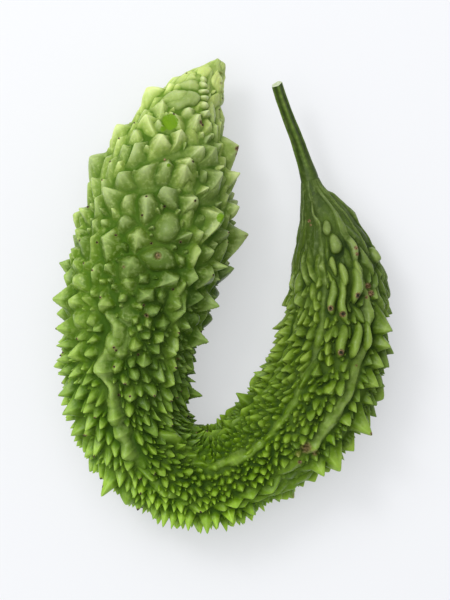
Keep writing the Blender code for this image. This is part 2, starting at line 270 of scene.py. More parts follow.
FRESH_MARKS = (
    (-0.4, 26.3, 2.7, 1.0), (-18.4, 59.6, 4.0, 0.9), (-19.6, 55.8, 2.0, 0.9),
    (-20.8, 57.0, 1.5, 0.7), (36.9, -49.7, 2.4, 0.6), (-18.6, 44.0, 1.2, 0.6),
)
PIN_RADIUS, PIN_STRENGTH = 0.55, 1.6

# Where the skin is smoother than around it: x, y, radius, share of the height that is left.
CALM = (
    (27.0, -66.5, 11.0, 0.20), (17.5, -74.5, 9.0, 0.45), (-36.0, 60.0, 9.0, 0.60),
    (-44.0, 47.0, 8.0, 0.60),
)

# The tubercles that fill the skin come in turns, from large to small: the least and the most
# room, as shares of the usual radius, that one of them takes.
CROWDS = ((0.85, 1.25), (0.55, 1.0), (0.33, 0.7))
TRIES = 60000
TRY_AREA = 0.14            # square millimetres of skin for which every try counts
MOST_PLACES = 9000

# The unevenness of an unbroken crest: its reach along and round the fruit, and its depth.
CREST_LUMPS = ((12.0, 12.0, 0.75), (6.0, 6.0, 0.32), (14.0, 2.5, 0.16))
WAVER_STEP, SWELL_STEP = 6.0, 3.0      # how often a crest changes its way and its size
WARP_REACH = (9.0, 12.0)
WARP_DEPTH = 0.35
NECK_END = 9.0             # the skin's relief dies out over this length before the stem
BLUR = 19.7                # 2 pi squared


def spline_through(stations, steps=24):
    """Points on a Catmull-Rom curve through the stations, every column of them."""
    rows = np.array(stations, float)
    rows = np.vstack([2 * rows[0] - rows[1], rows, 2 * rows[-1] - rows[-2]])
    u = (np.arange(steps) / steps)[:, None]
    parts = []
    for before, start, end, after in zip(rows, rows[1:], rows[2:], rows[3:]):
        parts.append(
            0.5 * (2 * start + (end - before) * u
                   + (2 * before - 5 * start + 4 * end - after) * u ** 2
                   + (3 * start - before - 3 * end + after) * u ** 3)
        )
    parts.append(rows[-2:-1])
    return np.vstack(parts)


def even_rows(points, count):
    """The same curve read at evenly spaced lengths along x, y and z."""
    steps = np.linalg.norm(np.diff(points[:, :3], axis=0), axis=1)
    length = np.concatenate([[0.0], np.cumsum(steps)])
    wanted = np.linspace(0.0, length[-1], count)
    columns = [np.interp(wanted, length, points[:, c]) for c in range(points.shape[1])]
    return np.stack(columns, axis=1), wanted


def unit(vectors):
    return vectors / np.maximum(np.linalg.norm(vectors, axis=-1, keepdims=True), 1e-9)


def smooth_step(low, high, value):
    share = np.clip((value - low) / (high - low), 0.0, 1.0)
    return share * share * (3.0 - 2.0 * share)


def read_zone(table, distance):
    """The table's values at a distance from the tip, in columns."""
    rows = np.array(table)
    return [np.interp(distance, rows[:, 0], rows[:, c]) for c in range(1, rows.shape[1])]


def blurred(field, row_reach, column_reach):
    """The field smoothed over so many rows and columns."""
    row_waves = np.fft.fftfreq(field.shape[0])[:, None]
    column_waves = np.fft.rfftfreq(field.shape[1])[None, :]
    damping = np.exp(-BLUR * ((row_waves * row_reach) ** 2 + (column_waves * column_reach) ** 2))
    return np.fft.irfft2(np.fft.rfft2(field) * damping, s=field.shape)


def smooth_noise(dice, shape, row_reach, column_reach):
    """Smooth unevenness with a spread of 1."""
    field = blurred(dice.standard_normal(shape), row_reach, column_reach)
    return field / field.std()


class Skin:
    """The fruit's skin: a smooth body, and how far each of its points is raised."""

    def __init__(self):
        axis, self.distance = even_rows(spline_through(FRUIT_STATIONS), ROWS)
        self.length = self.distance[-1]
        self.axis = axis
        along = np.gradient(axis[:, :3], axis=0)
        along[:, 2] = 0.0
        along = unit(along)
        self.outside = np.stack([along[:, 1], -along[:, 0], np.zeros(ROWS)], axis=1)
        self.angle = math.tau * np.arange(COLUMNS) / COLUMNS
        sine, cosine = np.sin(self.angle), np.cos(self.angle)
        self.upper = cosine > -0.05
        level = axis[:, 3, None] * sine
        self.body = axis[:, None, :3] + self.outside[:, None, :] * level[..., None]
        self.body[..., 2] += axis[:, 4, None] * cosine
        step_along = np.gradient(self.body, axis=0)
        ahead, behind = np.roll(self.body, -1, 1), np.roll(self.body, 1, 1)
        step_round = (ahead - behind) / 2
        self.row_step = np.linalg.norm(step_along, axis=2)
        self.column_step = np.linalg.norm(step_round, axis=2)
        self.along, self.round = unit(step_along), unit(step_round)
        self.normal = unit(np.cross(self.round, self.along))
        shape = (ROWS, COLUMNS)
        self.rise = np.zeros(shape)
        # Each tubercle's tone: random from one to the next, plus painted light and shade by side.
        self.tone_and_side_light = np.full(shape, 0.5)
        self.lean_along = np.zeros(shape)
        self.lean_round = np.zeros(shape)
        self.scar = np.zeros(shape)
        self.fresh = np.zeros(shape)
        self.pale = np.zeros(shape)
        self.calm = np.ones(shape)
        for x, y, radius, left in CALM:
            apart = np.hypot(self.body[..., 0] + 2.0 * self.normal[..., 0] - x,
                             self.body[..., 1] + 2.0 * self.normal[..., 1] - y)
            share = left + (1.0 - left) * smooth_step(0.5 * radius, radius, apart)
            self.calm = np.where(self.upper, np.minimum(self.calm, share), self.calm)
        self.zone = np.array(read_zone(ZONES, self.distance))
        self.flank = np.array(read_zone(FLANKS, self.distance))
        dice = np.random.default_rng(WARP_SEED)
        self.warp_along = smooth_noise(dice, shape, *WARP_REACH) * WARP_DEPTH
        self.warp_round = smooth_noise(dice, shape, *WARP_REACH) * WARP_DEPTH

    def row_of(self, distance):
        return int(round(np.clip(distance / self.length, 0, 1) * (ROWS - 1)))

    def column_of(self, angle):
        return int(round(angle / math.tau * COLUMNS)) % COLUMNS

    def patch(self, row, column, reach):
        """Rows and columns within reach of a point, and their offsets from it."""
        row_step = max(self.row_step[row, column], 0.03)
        column_step = max(self.column_step[row, column], 0.02)
        rows_out = int(reach / row_step) + 1
        columns_out = min(int(reach / column_step) + 1, COLUMNS // 2 - 1)
        rows = np.arange(max(row - rows_out, 0), min(row + rows_out, ROWS - 1) + 1)
        columns = np.arange(column - columns_out, column + columns_out + 1)
        u = (rows - row)[:, None] * row_step
        v = (columns - column)[None, :] * column_step
        return np.ix_(rows, columns % COLUMNS), u, v


def profile(far, point):
    """A tubercle's height share at a distance of 0 to 1 from its peak: dome, cone or thorn."""
    tip = 0.08
    near = (np.sqrt(far ** 2 + tip ** 2) - tip) / (math.sqrt(1 + tip ** 2) - tip)
    near = np.clip(near, 0.0, 1.0)
    dome = np.sqrt(1.0 - near ** 2)
    cone = 1.0 - near
    thorn = cone ** 1.8
    if point < 0.5:
        return dome + (cone - dome) * point * 2
    return cone + (thorn - cone) * (point * 2 - 1)


def raise_wart(skin, row, column, long, wide, height, point,
               lean=(0.0, 0.0), turn=0.0, facets=0, spin=0.0, tone_and_side_light=0.5, peak=0.0, pin=0.0,
               keel=0.0):
    """Raise one tubercle: half-length, half-width and height, and where its peak is."""
    where, u, v = skin.patch(row, column, max(long, wide) * (1.1 + abs(peak)))
    u = u + skin.warp_along[where] - skin.warp_along[row, column]
    v = v + skin.warp_round[where] - skin.warp_round[row, column]
    across, up = u * math.cos(turn) + v * math.sin(turn), v * math.cos(turn) - u * math.sin(turn)
    a, b = across / long, up / wide
    # The foot is an ellipse whose rings shrink towards a peak that sits off its middle.
    far = (a * peak + np.sqrt(a ** 2 + (1 - peak ** 2) * b ** 2)) / (1 - peak ** 2)
    # Keels run down it from the peak, before, behind and to both sides.
    square = np.abs(a) / np.where(a > 0, 1 - peak, 1 + peak) + np.abs(b)
    far = far + keel * (square - far)
    if facets:
        bearing = np.arctan2(b, a)
        uneven = 0.07 * np.cos(facets * bearing + spin)
        uneven += 0.025 * np.cos((2 * facets + 3) * bearing - spin)
        far = far * (1.0 + uneven)
    share = profile(far, point)
    rise = height * share
    higher = rise > skin.rise[where]
    changes = (
        (skin.rise, rise),
        (skin.tone_and_side_light, tone_and_side_light),
        (skin.pale, 0.0),
        (skin.scar, pin * (np.hypot(u, v) < 0.42)),
        (skin.lean_along, lean[0] * share ** 1.6),
        (skin.lean_round, lean[1] * share ** 1.6),
    )
    for field, value in changes:
        field[where] = np.where(higher, value, field[where])


def raise_crest(skin, dice, way):
    """The unbroken part of a ridge: a fleshy, knuckled band, steeper on the U's outer side."""
    turns, sizes = np.arange(0, 300, WAVER_STEP), np.arange(0, 300, SWELL_STEP)
    waver = np.interp(skin.distance, turns, dice.uniform(-1, 1, len(turns)))
    swell = np.interp(skin.distance, sizes, dice.uniform(0.3, 1.0, len(sizes)))
    lumps = np.zeros(skin.rise.shape)
    for row_reach, column_reach, depth in CREST_LUMPS:
        lumps = lumps + smooth_noise(dice, skin.rise.shape, row_reach, column_reach) * depth
    for row in range(ROWS):
        distance = skin.distance[row]
        if distance < way[0][0] or distance > way[-1][0]:
            continue
        high, wide = read_zone(RIDGE_ZONES, distance)[3:]
        angle, strength, unbroken = read_zone(way, distance)
        high *= strength * swell[row] * (0.35 + 0.65 * unbroken)
        wide *= (0.6 + 0.4 * unbroken) * (0.45 + 0.6 * swell[row]) * (0.3 + 0.8 * strength)
        middle = skin.column_of(math.radians(angle + waver[row]))
        step = skin.column_step[row, middle]
        reach = min(int(wide * 2.4 / step) + 1, COLUMNS // 2 - 1)
        columns = np.arange(middle - reach, middle + reach + 1) % COLUMNS
        # The crest's edges wander most on the thick arm, and its outer side is the steeper.
        bend = 2.3 - 1.3 * smooth_step(140.0, 170.0, distance)
        v = (np.arange(-reach, reach + 1) * step + skin.warp_round[row, columns] * bend) / wide
        v = np.where(v > 0.0, v, v / 1.6)
        share = np.clip(1.0 - np.abs(v) ** 1.8, 0.0, 1.0)
        rise = high * share + lumps[row, columns] * np.minimum(share * 2.0, 1.0) * min(high / 2, 1)
        higher = rise > skin.rise[row, columns]
        changes = (
            (skin.rise, rise),
            (skin.tone_and_side_light, 0.7),
            (skin.pale, share * unbroken * strength),
        )
        for field, value in changes:
            field[row, columns] = np.where(higher, value, field[row, columns])


def raise_ridges(skin, dice, taken):
    """Toothed ridges: blades set one after another along the fruit, over a crest."""
    for way in RIDGES.values():
        raise_crest(skin, dice, way)
        distance = way[0][0] + dice.uniform(2.0, 8.0)
        while distance < min(skin.length, way[-1][0]) - 2.0:
            height, wide, spacing, _, crest_wide = read_zone(RIDGE_ZONES, distance)
            angle, strength, unbroken = read_zone(way, distance)
            spacing *= dice.uniform(0.7, 1.3)
            row = skin.row_of(distance)
            column = skin.column_of(math.radians(angle + dice.uniform(-2.5, 2.5)))
            lean, peak = read_zone(ZONES, distance)[4:6]
            if strength > 0.1 and dice.random() > unbroken:
                raise_wart(
                    skin, row, column, spacing * 0.72, wide * dice.uniform(0.9, 1.3),
                    height * strength * dice.uniform(0.7, 1.15) * skin.calm[row, column],
                    dice.uniform(0.4, 0.75),
                    lean=(lean, 0.0), tone_and_side_light=dice.uniform(0.5, 1.0), peak=peak,
                    facets=int(dice.integers(0, 2)) * 3, spin=dice.uniform(0, math.tau),
                    pin=float(dice.random() < 0.25 and distance < 170.0),
                )
                for step in (-0.4, 0.0, 0.4):
                    beside = skin.row_of(distance + step * spacing)
                    take(skin, taken, beside, column, wide * 0.6)
            elif strength > 0.1:
                for step in (-0.5, -0.2, 0.2, 0.5):
                    beside = skin.row_of(distance + step * spacing)
                    take(skin, taken, beside, column, crest_wide * strength * 0.8)
            distance += spacing * 0.85


def take(skin, taken, row, column, radius):
    """Note a place on the skin as full."""
    n = taken["count"]
    taken["place"][n], taken["radius"][n] = skin.body[row, column], radius
    taken["count"] = n + 1


def seen_at(skin, x, y, height):
    """The row and column of the upper skin whose tubercle of this height ends above (x, y)."""
    tips = skin.body[..., :2] + skin.normal[..., :2] * height
    apart = (tips[..., 0] - x) ** 2 + (tips[..., 1] - y) ** 2
    apart = np.where(skin.upper[None, :], apart, np.inf)
    return np.unravel_index(np.argmin(apart), apart.shape)


def raise_big_warts(skin, dice, taken):
    for x, y, height, long, wide, point, turn in BIG_WARTS:
        row, column = seen_at(skin, x, y, height)
        plain = point < 0.3
        lean, peak = read_zone(ZONES, skin.distance[row])[4:6]
        if plain:
            # The fingers near the neck end bluntly and run out towards the stem.
            lean, peak = 0.0, -0.5 if skin.distance[row] > 215.0 else 0.0
        raise_wart(
            skin, row, column, long * 1.2, wide * 1.15, height * 1.05, point,
            turn=math.radians(turn), facets=0 if plain else int(dice.integers(3, 6)),
            spin=dice.uniform(0, math.tau), tone_and_side_light=dice.uniform(0.3, 0.9),
            peak=peak, lean=(0.5 * lean, 0.0),
            keel=0.0 if plain else dice.uniform(0.2, 0.7),
        )
        for step in np.arange(-long, long + 0.1, wide) * 0.75:
            beside = skin.row_of(skin.distance[row] + step)
            take(skin, taken, beside, column, wide * 0.65)


def crowd(skin, dice, share_low, share_high, taken):
    """Fill the free skin with tubercles as large as each place leaves room for."""
    rows = dice.integers(4, ROWS - 4, TRIES)
    columns = dice.integers(0, COLUMNS, TRIES)
    for row, column in zip(rows, columns):
        # A row's skin is shorter on the inside of the bend, so fewer tries land there.
        if dice.random() > skin.row_step[row, column] * skin.column_step[row, column] / TRY_AREA:
            continue
        radius, height, point, stretch, lean, peak = skin.zone[:, row]
        side = math.sin(skin.angle[column])
        wider, taller = skin.flank[0:2, row] if side > 0 else skin.flank[2:4, row]
        radius *= 1.0 + wider * abs(side)
        height *= (1.0 + taller * abs(side)) * skin.calm[row, column]
        wild = 1.0 - smooth_step(85.0, 130.0, skin.distance[row])
        here = skin.body[row, column]
        along = skin.along[row, column]
        offset = taken["place"][:taken["count"]] - here
        forward = offset @ along
        apart2 = (offset ** 2).sum(1) - forward ** 2 + (forward / stretch) ** 2
        gap = np.sqrt(np.maximum(apart2, 0.0)) - taken["radius"][:taken["count"]]
        room = gap.min() if len(gap) else radius
        if room < radius * share_low:
            continue
        own = min(room, radius * share_high * dice.uniform(0.75, 1.2))
        take(skin, taken, row, column, own)
        size = own / radius
        raise_wart(
            skin, row, column, own * stretch * 1.6, own * 1.6,
            height * (0.35 + 0.65 * size) * dice.uniform(0.7, 1.25),
            np.clip(point + dice.uniform(-0.3, 0.25), 0.0, 1.0),
            lean=(lean * size * dice.uniform(0.5, 1.4),
                  dice.uniform(-1.0, 1.0) * (0.35 + 0.45 * wild) * own),
            turn=dice.uniform(-0.4 - 0.6 * wild, 0.4 + 0.6 * wild),
            facets=int(dice.integers(2, 4)),
            spin=dice.uniform(0, math.tau),
            # painted light and shade: the tone is lighter on the side turned to the lamp, darker away
            # from it
            tone_and_side_light=np.clip(dice.uniform(0.0, 1.0) - 0.5 * side * skin.flank[4, row], 0.0, 1.0),
            peak=np.clip(peak * dice.uniform(0.5, 1.5), -0.6, 0.6),
            keel=dice.uniform(0.3 * wild, 0.75 + 0.25 * wild),
            pin=float(dice.random() < 0.12 and size > 0.8 and skin.distance[row] < 160.0),
        )


def mark(points, field, x, y, radius, strength):
    """Mark the skin that is seen from above near (x, y)."""
    apart = np.hypot(points[..., 0] - x, points[..., 1] - y)
    near = apart < radius
    if not near.any():
        return
    top = points[..., 2][near].max()
    near &= points[..., 2] > top - 1.5 - 1.3 * radius
    amount = strength * np.clip(1.6 * (1.0 - apart / radius), 0.0, 1.0)
    field[near] = np.maximum(field[near], amount[near])


def grown_points(skin):
    """The body's points with everything raised, the lowest pressed flat on the floor."""
    points = skin.body + skin.normal * skin.rise[..., None]
    points = points + skin.along * skin.lean_along[..., None]
    points = points + skin.round * skin.lean_round[..., None]
    points[..., 2] = np.maximum(points[..., 2], 0.0)
    return points


def sheet_mesh(name, points, first_pole, last_pole, values, flat_start=False, flat_end=False):
    """A closed mesh from rows of points round an axis, with a pole at each end."""
    rows, columns = points.shape[:2]
    corners = np.vstack([points.reshape(-1, 3), first_pole, last_pole]) * MM
    grid = np.arange(rows * columns).reshape(rows, columns)
    beside = np.roll(grid, -1, axis=1)
    quads = np.stack([grid[:-1], beside[:-1], beside[1:], grid[1:]], axis=-1).reshape(-1, 4)
    first, last = rows * columns, rows * columns + 1
    start = np.stack([np.full(columns, first), beside[0], grid[0]], axis=1)
    end = np.stack([np.full(columns, last), grid[-1], beside[-1]], axis=1)
    loops = np.concatenate([quads.ravel(), start.ravel(), end.ravel()])
    sizes = np.concatenate([np.full(len(quads), 4), np.full(2 * columns, 3)])
    starts = np.concatenate([[0], np.cumsum(sizes)[:-1]])

    mesh = bpy.data.meshes.new(name)
    mesh.vertices.add(len(corners))
    mesh.vertices.foreach_set("co", corners.ravel())
    mesh.loops.add(len(loops))
    mesh.loops.foreach_set("vertex_index", loops.astype(np.int32))
    mesh.polygons.add(len(sizes))
    mesh.polygons.foreach_set("loop_start", starts.astype(np.int32))
    mesh.update(calc_edges=True)
    smooth = np.ones(len(sizes), bool)
    smooth[len(quads):len(quads) + columns] = not flat_start
    smooth[len(quads) + columns:] = not flat_end
    mesh.polygons.foreach_set("use_smooth", smooth)
    for label, grid_values in values.items():
        flat = np.concatenate([grid_values.ravel(), [grid_values[0].mean(), grid_values[-1].mean()]])
        layer = mesh.attributes.new(label, "FLOAT", "POINT")
        layer.data.foreach_set("value", flat.astype(np.float32))

    row_share = np.arange(rows) / (rows - 1) * 0.98 + 0.01
    quad_rows = np.repeat(np.arange(rows - 1), columns)
    quad_columns = np.tile(np.arange(columns), rows - 1)
    u = np.stack([quad_columns, quad_columns + 1, quad_columns + 1, quad_columns], 1) / columns
    v = row_share[np.stack([quad_rows, quad_rows, quad_rows + 1, quad_rows + 1], 1)]
    cap = np.arange(columns)
    start_u = np.stack([cap + 0.5, cap + 1, cap], 1) / columns
    end_u = np.stack([cap + 0.5, cap, cap + 1], 1) / columns
    start_v = np.tile([0.0, row_share[0], row_share[0]], (columns, 1))
    end_v = np.tile([1.0, row_share[-1], row_share[-1]], (columns, 1))
    all_u = np.concatenate([u.ravel(), start_u.ravel(), end_u.ravel()])
    all_v = np.concatenate([v.ravel(), start_v.ravel(), end_v.ravel()])
    uv = mesh.uv_layers.new(name="OFBake")
    uv.data.foreach_set("uv", np.stack([all_u, all_v], 1).astype(np.float32).ravel())
    return mesh


def make_fruit():
    skin = Skin()
    dice = np.random.default_rng(FRUIT_SEED)
    taken = {"place": np.zeros((MOST_PLACES, 3)), "radius": np.zeros(MOST_PLACES), "count": 0}
    raise_big_warts(skin, dice, taken)
    raise_ridges(skin, dice, taken)
    for share_low, share_high in CROWDS:
        crowd(skin, dice, share_low, share_high, taken)
    # The relief is each point's height over the skin around it, read before the feet are softened;
    # the material paints low relief darker, as painted shade in the hollows, and rougher.
    around = blurred(skin.rise, 6.0, 9.0)
    # Where the tubercles are low, near both ends, less unevenness shows as much.
    range_of_rise = 1.5 + 1.7 * (smooth_step(10.0, 45.0, skin.distance)
                                 - smooth_step(235.0, 268.0, skin.distance))
    skin.relief = 0.5 + (skin.rise - around) / range_of_rise[:, None]
    # The tubercles' feet run into each other softly, most of all on the thick arm.
    soft = 0.55 + 0.31 * (smooth_step(12.0, 35.0, skin.distance)
                          - smooth_step(95.0, 140.0, skin.distance))
    skin.rise = np.maximum(skin.rise, soft[:, None] * blurred(skin.rise, 4.0, 4.0))
    skin.lean_along = blurred(skin.lean_along, 1.6, 1.6)
    skin.lean_round = blurred(skin.lean_round, 1.6, 1.6)
    skin.rise += smooth_noise(dice, skin.rise.shape, 3.0, 4.0) * 0.06 * np.minimum(skin.rise, 1.0)
    skin.rise *= smooth_step(skin.length, skin.length - NECK_END, skin.distance)[:, None]
    points = grown_points(skin)
    dent = np.zeros(skin.rise.shape)
    for x, y, radius, depth in DENTS:
        mark(points, dent, x, y, radius, depth)
    skin.rise -= dent
    points = grown_points(skin)
    for x, y, radius, strength in BROWN_MARKS:
        mark(points, skin.scar, x, y, radius, strength)
    for x, y in PINS:
        mark(points, skin.scar, x, y, PIN_RADIUS, PIN_STRENGTH)
    for x, y, radius, strength in FRESH_MARKS:
        mark(points, skin.fresh, x, y, radius, strength)
    along = np.broadcast_to((skin.distance / skin.length)[:, None], skin.rise.shape)
    outside = np.broadcast_to(np.maximum(np.sin(skin.angle), 0.0), skin.rise.shape)
    values = {"outside": outside, "tone_and_side_light": skin.tone_and_side_light, "along": along, "scar": skin.scar,
              "fresh": skin.fresh, "relief": skin.relief, "pale": skin.pale}
    mesh = sheet_mesh("fruit_skin", points, skin.axis[0, :3], skin.axis[-1, :3], values,
                      flat_end=True)
    fruit = bpy.data.objects.new("fruit_skin", mesh)
    bpy.context.scene.collection.objects.link(fruit)
    return fruit


# ---------------------------------------------------------------- the stem
# x, y, z of its axis and its radius, from the fruit to the cut end.
STEM_STATIONS = (
    (30.60, 39.62, 17.0, 3.22),
    (29.9, 42.2, 17.05, 3.1),
    (28.2, 47.2, 17.6, 2.6),
    (25.8, 54.2, 18.6, 2.3),
    (23.0, 61.2, 19.8, 2.1),
    (20.4, 68.2, 21.0, 2.0),
    (18.6, 73.8, 22.0, 1.95),
)
STEM_ROWS = 240
STEM_COLUMNS = 120
STEM_RIBS = 5
FIRST_RIB_DEG = -66.0      # a rib runs up the U's inner side
CUT_SLANT = 0.15
CUT_BACK = 0.45


def make_stem():
    """A ribbed stalk with a slanting cut end."""
    dice = np.random.default_rng(STEM_SEED)
    axis, distance = even_rows(spline_through(STEM_STATIONS), STEM_ROWS)
    angle = math.tau * np.arange(STEM_COLUMNS) / STEM_COLUMNS
    phase = angle - math.radians(FIRST_RIB_DEG)
    rib = (0.5 + 0.5 * np.cos(STEM_RIBS * phase)) ** 1.6
    fine = 0.5 + 0.5 * np.cos(STEM_RIBS * 3 * phase)
    ribbed = smooth_step(0.0, 14.0, distance)[:, None]
    bumps = smooth_noise(dice, (STEM_ROWS, STEM_COLUMNS), 8.0, 2.0) * 0.035
    radius = axis[:, 3, None] * (1.0 + ribbed * (0.17 * rib - 0.10 + 0.02 * fine)) + bumps
    along = unit(np.gradient(axis[:, :3], axis=0) * (1.0, 1.0, 0.0))
    outside = np.stack([along[:, 1], -along[:, 0], np.zeros(STEM_ROWS)], axis=1)
    points = axis[:, None, :3] + outside[:, None, :] * (radius * np.sin(angle))[..., None]
    points[..., 2] += radius * np.cos(angle)
    # The cut: the last rows lean over, then close in towards the middle.
    lean = smooth_step(distance[-1] - 8.0, distance[-1], distance)[:, None]
    slide = (radius * (CUT_SLANT * np.sin(angle) - CUT_BACK * np.cos(angle)) * lean)[..., None]
    points = points + along[:, None, :] * slide
    middle = points[-1].mean(axis=0)
    rings = [middle + (points[-1] - middle) * share for share in (0.96, 0.85, 0.6, 0.3)]
    sunken = along[-1] * np.array([[0.06], [0.02], [-0.10], [-0.25]])
    cap = np.array(rings) + sunken[:, None, :]
    points = np.concatenate([points, cap])
    shape = points.shape[:2]
    cut = np.zeros(shape)
    cut[STEM_ROWS:] = 1.0
    at_base = 1.0 - smooth_step(0.0, 9.0, distance)[:, None]
    shown = np.vstack([rib * (1.0 - at_base) + 0.3 * at_base, np.tile(rib, (len(cap), 1))])
    values = {"cut": cut, "rib": shown,
              "along": np.broadcast_to(np.linspace(0.0, 1.0, shape[0])[:, None], shape)}
    mesh = sheet_mesh("stem_skin", points, axis[0, :3], middle - along[-1] * 0.3, values,
                      flat_start=True)
    stem = bpy.data.objects.new("stem_skin", mesh)
    bpy.context.scene.collection.objects.link(stem)
    return stem


# ---------------------------------------------------------------- materials
BLACK, WHITE = (0.0, 0.0, 0.0), (1.0, 1.0, 1.0)
STUDIO_WHITE = (0.97, 0.98, 1.0, 1.0)


def grey(value):
    return (value, value, value)


class Nodes:
    """A small helper that adds nodes to a material and joins them."""

    def __init__(self, name):
        self.material = bpy.data.materials.new(name)
        self.material.use_nodes = True
        self.tree = self.material.node_tree
        self.shader = self.tree.nodes["Principled BSDF"]

    def add(self, kind, **settings):
        node = self.tree.nodes.new(kind)
        for key, value in settings.items():
            setattr(node, key, value)
        return node

    def join(self, source, target):
        self.tree.links.new(source, target)

    def attribute(self, name):
        return self.add("ShaderNodeAttribute", attribute_name=name).outputs["Fac"]

    def noise(self, scale, detail=3.0):
        coordinates = self.add("ShaderNodeTexCoord").outputs["Object"]
        node = self.add("ShaderNodeTexNoise")
        node.inputs["Scale"].default_value = scale
        node.inputs["Detail"].default_value = detail
        self.join(coordinates, node.inputs["Vector"])
        return node.outputs["Fac"]

    def ramp(self, factor, stops):
        node = self.add("ShaderNodeValToRGB")
        elements = node.color_ramp.elements
        while len(elements) > 1:
            elements.remove(elements[-1])
        for index, (place, colour) in enumerate(stops):
            element = elements[0] if index == 0 else elements.new(place)
            element.position = place
            element.color = (*colour, 1.0)
        self.join(factor, node.inputs["Fac"])
        return node.outputs["Color"]

    def mix(self, factor, first, second, blend="MIX"):
        node = self.add("ShaderNodeMix", data_type="RGBA", blend_type=blend)
        # A colour mix's factor is its input 0, its two colours are inputs 6 and 7.
        for index, value in ((0, factor), (6, first), (7, second)):
            if isinstance(value, (int, float)):
                node.inputs[index].default_value = value
            elif isinstance(value, tuple):
                node.inputs[index].default_value = (*value, 1.0)
            else:
                self.join(value, node.inputs[index])
        return node.outputs[2]

    def maths(self, operation, first, second=None):
        node = self.add("ShaderNodeMath", operation=operation)
        for index, value in enumerate((first, second)):
            if value is None:
                continue
            if isinstance(value, (int, float)):
                node.inputs[index].default_value = value
            else:
                self.join(value, node.inputs[index])
        return node.outputs[0]


def fruit_material():
    n = Nodes("bitter_gourd_skin")
    along, tone_and_side_light, relief = n.attribute("along"), n.attribute("tone_and_side_light"), n.attribute("relief")
    middle = n.ramp(along, (
        (0.00, (0.46, 0.55, 0.180)),
        (0.10, (0.24, 0.33, 0.075)),
        (0.25, (0.066, 0.128, 0.004)),
        (0.45, (0.062, 0.138, 0.001)),
        (0.60, (0.092, 0.182, 0.001)),
        (0.80, (0.080, 0.146, 0.003)),
        (0.93, (0.050, 0.088, 0.006)),
        (1.00, (0.050, 0.085, 0.010)),
    ))
    # The hollows' colour: a darker green skin with painted shade over it.
    groove_painted_shade = n.ramp(along, (
        (0.00, (0.14, 0.24, 0.025)),
        (0.12, (0.050, 0.115, 0.003)),
        (0.50, (0.026, 0.072, 0.0005)),
        (0.90, (0.018, 0.042, 0.001)),
        (1.00, (0.030, 0.052, 0.005)),
    ))
    crest = n.ramp(along, (
        (0.00, (0.62, 0.70, 0.34)),
        (0.12, (0.50, 0.58, 0.27)),
        (0.27, (0.26, 0.37, 0.10)),
        (0.45, (0.23, 0.37, 0.050)),
        (0.60, (0.25, 0.42, 0.035)),
        (0.80, (0.23, 0.34, 0.055)),
        (0.93, (0.20, 0.27, 0.075)),
        (1.00, (0.12, 0.17, 0.045)),
    ))
    # Low relief takes the hollows' colour and high relief the crest's: the dark hollows are partly
    # painted shade.
    low = n.ramp(relief, ((0.15, BLACK), (0.55, WHITE)))
    high = n.ramp(relief, ((0.58, BLACK), (1.0, grey(0.9))))
    colour = n.mix(low, groove_painted_shade, middle)
    colour = n.mix(high, colour, crest)
    bloom = n.ramp(n.noise(650.0), ((0.50, BLACK), (0.66, WHITE)))
    fading = n.ramp(along, ((0.0, grey(0.5)), (0.3, grey(0.25)), (0.45, grey(0.1))))
    waxy = n.maths("MULTIPLY", n.maths("MULTIPLY", bloom, fading), low)
    colour = n.mix(waxy, colour, (0.46, 0.57, 0.21))
    lessening = n.ramp(along, ((0.75, WHITE), (0.95, grey(0.7))))
    mottled = n.ramp(n.noise(280.0), ((0.36, grey(0.15)), (0.62, WHITE)))
    pale = n.maths("MULTIPLY", n.attribute("pale"), n.maths("MULTIPLY", mottled, lessening))
    colour = n.mix(n.maths("MULTIPLY", pale, 0.45), colour, n.mix(0.6, crest, (0.30, 0.38, 0.15)))
    patch = n.ramp(n.noise(90.0), ((0.45, BLACK), (0.70, WHITE)))
    colour = n.mix(n.maths("MULTIPLY", patch, 0.30), colour, (0.15, 0.24, 0.03))
    # The tubercles' tone scales the colour: partly random, partly painted light and shade by side.
    shade = n.ramp(tone_and_side_light, ((0.0, (0.70, 0.75, 0.65)), (0.5, WHITE), (1.0, (1.26, 1.22, 1.15))))
    colour = n.mix(1.0, colour, shade, "MULTIPLY")
    # Painted light: the thick arm's outer side, turned to the lamp, is painted lighter still.
    sunny = n.ramp(along, ((0.55, WHITE), (0.75, BLACK)))
    painted_side_light = n.maths("MULTIPLY", n.attribute("outside"), sunny)
    colour = n.mix(painted_side_light, colour, n.mix(1.0, colour, (1.30, 1.32, 1.22), "MULTIPLY"))
    torn = n.maths("ADD", n.attribute("fresh"), n.maths("MULTIPLY", n.noise(1200.0), 0.5))
    opened = n.ramp(torn, ((0.60, BLACK), (0.75, WHITE)))
    colour = n.mix(opened, colour, (0.15, 0.29, 0.006))
    crust = n.ramp(n.noise(1500.0), (
        (0.35, (0.030, 0.018, 0.008)),
        (0.50, (0.16, 0.09, 0.035)),
        (0.70, (0.42, 0.30, 0.17)),
    ))
    scar = n.attribute("scar")
    scarred = n.ramp(scar, ((0.2, BLACK), (0.8, WHITE)))
    colour = n.mix(scarred, colour, crust)
    colour = n.mix(n.maths("GREATER_THAN", scar, 0.98), colour, (0.022, 0.022, 0.008))
    n.join(colour, n.shader.inputs["Base Color"])
    dull = n.ramp(relief, ((0.40, grey(0.5)), (0.62, BLACK)))
    rough = n.maths("ADD", n.maths("MULTIPLY", n.noise(400.0), 0.35), n.maths("ADD", dull, 0.14))
    n.join(n.maths("ADD", rough, n.maths("MULTIPLY", scar, 0.3)), n.shader.inputs["Roughness"])
    n.shader.inputs["Specular IOR Level"].default_value = 0.22
    n.shader.inputs["Subsurface Weight"].default_value = 0.12
    n.shader.inputs["Subsurface Radius"].default_value = (0.6, 1.0, 0.10)
    n.shader.inputs["Subsurface Scale"].default_value = 0.0012
    bump = n.add("ShaderNodeBump")
    bump.inputs["Strength"].default_value = 0.45
    bump.inputs["Distance"].default_value = 0.0003
    n.join(n.noise(900.0, 4.0), bump.inputs["Height"])
    n.join(bump.outputs["Normal"], n.shader.inputs["Normal"])
    return n.material


